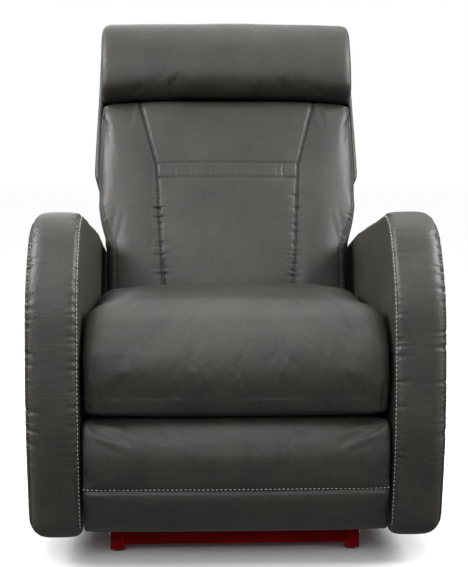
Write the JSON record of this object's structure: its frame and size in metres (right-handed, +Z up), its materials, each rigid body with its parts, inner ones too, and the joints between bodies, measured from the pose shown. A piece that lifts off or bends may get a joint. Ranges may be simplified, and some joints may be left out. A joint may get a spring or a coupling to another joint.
{
  "type": "power rocking recliner",
  "caption": "Padded armchair that rocks on a low wooden base, with a powered back that reclines and a powered leg rest that folds out from below the seat.",
  "frame": {"origin": "on the floor, under the middle of the chair's bounding box, upright with the leg rest in", "axes": "+Z up, +Y towards the chair's back, +X to the right of someone who faces the chair"},
  "size_m": [0.7825, 0.9172, 1.0828],
  "materials": {
    "leather": "satin",
    "base_wood": "satin",
    "frame_wood": "matte",
    "link_steel": "satin",
    "spring_steel": "satin",
    "bright_steel": "polished",
    "black_plastic": "matte",
    "button_plastic": "satin"
  },
  "bodies": {
    "base": {"base_runner_left": "base_wood", "base_runner_right": "base_wood", "base_front_rail": "base_wood", "base_rear_rail": "base_wood", "base_bolts": "spring_steel", "base_glides": "black_plastic", "rocker_plates": "link_steel", "rocker_springs": "spring_steel"},
    "chair": {"rocker_rail_left": "frame_wood", "rocker_rail_right": "frame_wood", "rocker_spring_brackets": "link_steel", "arm_frame_left": "frame_wood", "arm_frame_right": "frame_wood", "arm_cover_left": "leather", "arm_cover_right": "leather", "front_cross_rail": "frame_wood", "rear_cross_rail": "frame_wood", "rear_panel": "leather", "glide_tracks": "link_steel", "recline_brackets": "link_steel", "recline_motor": "black_plastic", "control_box": "black_plastic", "power_inlet": "black_plastic", "switch_panel": "black_plastic"},
    "legrest_out_button": {"legrest_out_button": "button_plastic"},
    "legrest_in_button": {"legrest_in_button": "button_plastic"},
    "recline_button": {"recline_button": "button_plastic"},
    "upright_button": {"upright_button": "button_plastic"},
    "seat": {"seat_side_rails": "frame_wood", "seat_cross_rails": "frame_wood", "seat_springs": "spring_steel", "seat_cushion": "leather", "side_plate_left": "link_steel", "side_plate_right": "link_steel", "cross_tubes": "link_steel", "glide_blocks": "black_plastic", "recline_rod": "bright_steel", "actuator_rail": "link_steel", "legrest_motor": "black_plastic"},
    "drive": {"torque_tube": "link_steel", "drive_link_left": "link_steel", "drive_link_right": "link_steel"},
    "front_links": {"front_link_left": "link_steel", "front_link_right": "link_steel"},
    "rear_links": {"rear_link_left": "link_steel", "rear_link_right": "link_steel"},
    "control_links": {"control_links": "link_steel"},
    "legrest": {"legrest_board": "frame_wood", "legrest_pad": "leather", "legrest_bracket_left": "link_steel", "legrest_bracket_right": "link_steel"},
    "yoke": {"actuator_yoke": "black_plastic"},
    "back": {"back_posts": "frame_wood", "back_rails": "frame_wood", "back_springs": "spring_steel", "back_cushion": "leather", "headrest_cushion": "leather", "outer_back": "leather", "back_brackets": "link_steel"},
    "recline_links": {"recline_links": "link_steel"}
  },
  "joints": [
    {"name": "rock", "type": "hinge", "parent": "base", "child": "chair", "pos_m": [0, 0.02, 0.1133], "axis": [-1, 0, 0], "range_deg": [-5, 7], "stiffness_Nm_per_rad": 700, "springref_deg": 1.75, "deforming": ["rocker_springs"]},
    {"name": "back_recline", "type": "hinge", "parent": "seat", "child": "back", "pos_m": [0, 0.175, 0.33], "axis": [-1, 0, 0], "range_deg": [0, 30]},
    {"name": "seat_glide", "type": "slide", "parent": "chair", "child": "seat", "axis": [0, -0.9848, 0.1736], "range_m": [0, 0.0602]},
    {"name": "recline_link_swing", "type": "hinge", "parent": "chair", "child": "recline_links", "pos_m": [0, 0.1325, 0.196], "axis": [-1, 0, 0], "range_deg": [-12.8, 0]},
    {"name": "legrest_extend", "type": "hinge", "parent": "seat", "child": "drive", "pos_m": [0, -0.305, 0.235], "axis": [-1, 0, 0], "range_deg": [0, 90]},
    {"name": "front_link_swing", "type": "hinge", "parent": "drive", "child": "front_links", "pos_m": [0, -0.33278, 0.07743], "axis": [-1, 0, 0], "range_deg": [-145.5, 0]},
    {"name": "rear_link_swing", "type": "hinge", "parent": "control_links", "child": "rear_links", "pos_m": [0, -0.2696, 0.0735], "axis": [-1, 0, 0], "range_deg": [-132.6, 0]},
    {"name": "legrest_tilt", "type": "hinge", "parent": "front_links", "child": "legrest", "pos_m": [0, -0.33278, 0.24243], "axis": [-1, 0, 0], "range_deg": [0, 145.5]},
    {"name": "control_link_swing", "type": "hinge", "parent": "seat", "child": "control_links", "pos_m": [0, -0.2628, 0.2646], "axis": [-1, 0, 0], "range_deg": [0, 80.7]},
    {"name": "yoke_slide", "type": "slide", "parent": "seat", "child": "yoke", "axis": [0, -1, 0], "range_m": [0, 0.0757]},
    {"name": "legrest_out_press", "type": "slide", "parent": "chair", "child": "legrest_out_button", "axis": [1, 0, 0], "range_m": [0, 0.0025], "stiffness_N_per_m": 600},
    {"name": "legrest_in_press", "type": "slide", "parent": "chair", "child": "legrest_in_button", "axis": [1, 0, 0], "range_m": [0, 0.0025], "stiffness_N_per_m": 600},
    {"name": "recline_press", "type": "slide", "parent": "chair", "child": "recline_button", "axis": [1, 0, 0], "range_m": [0, 0.0025], "stiffness_N_per_m": 600},
    {"name": "upright_press", "type": "slide", "parent": "chair", "child": "upright_button", "axis": [1, 0, 0], "range_m": [0, 0.0025], "stiffness_N_per_m": 600}
  ],
  "couplings": [
    {"joint": "seat_glide", "follows": "back_recline", "m_per_rad": 0.11459},
    {"joint": "recline_link_swing", "follows": "back_recline", "ratio": -0.4203},
    {"joint": "front_link_swing", "follows": "legrest_extend", "ratio": -1.6111},
    {"joint": "rear_link_swing", "follows": "legrest_extend", "ratio": -1.4713},
    {"joint": "legrest_tilt", "follows": "legrest_extend", "ratio": 1.6111},
    {"joint": "control_link_swing", "follows": "legrest_extend", "ratio": 0.8941},
    {"joint": "yoke_slide", "follows": "legrest_extend", "m_per_rad": 0.0481}
  ]
}
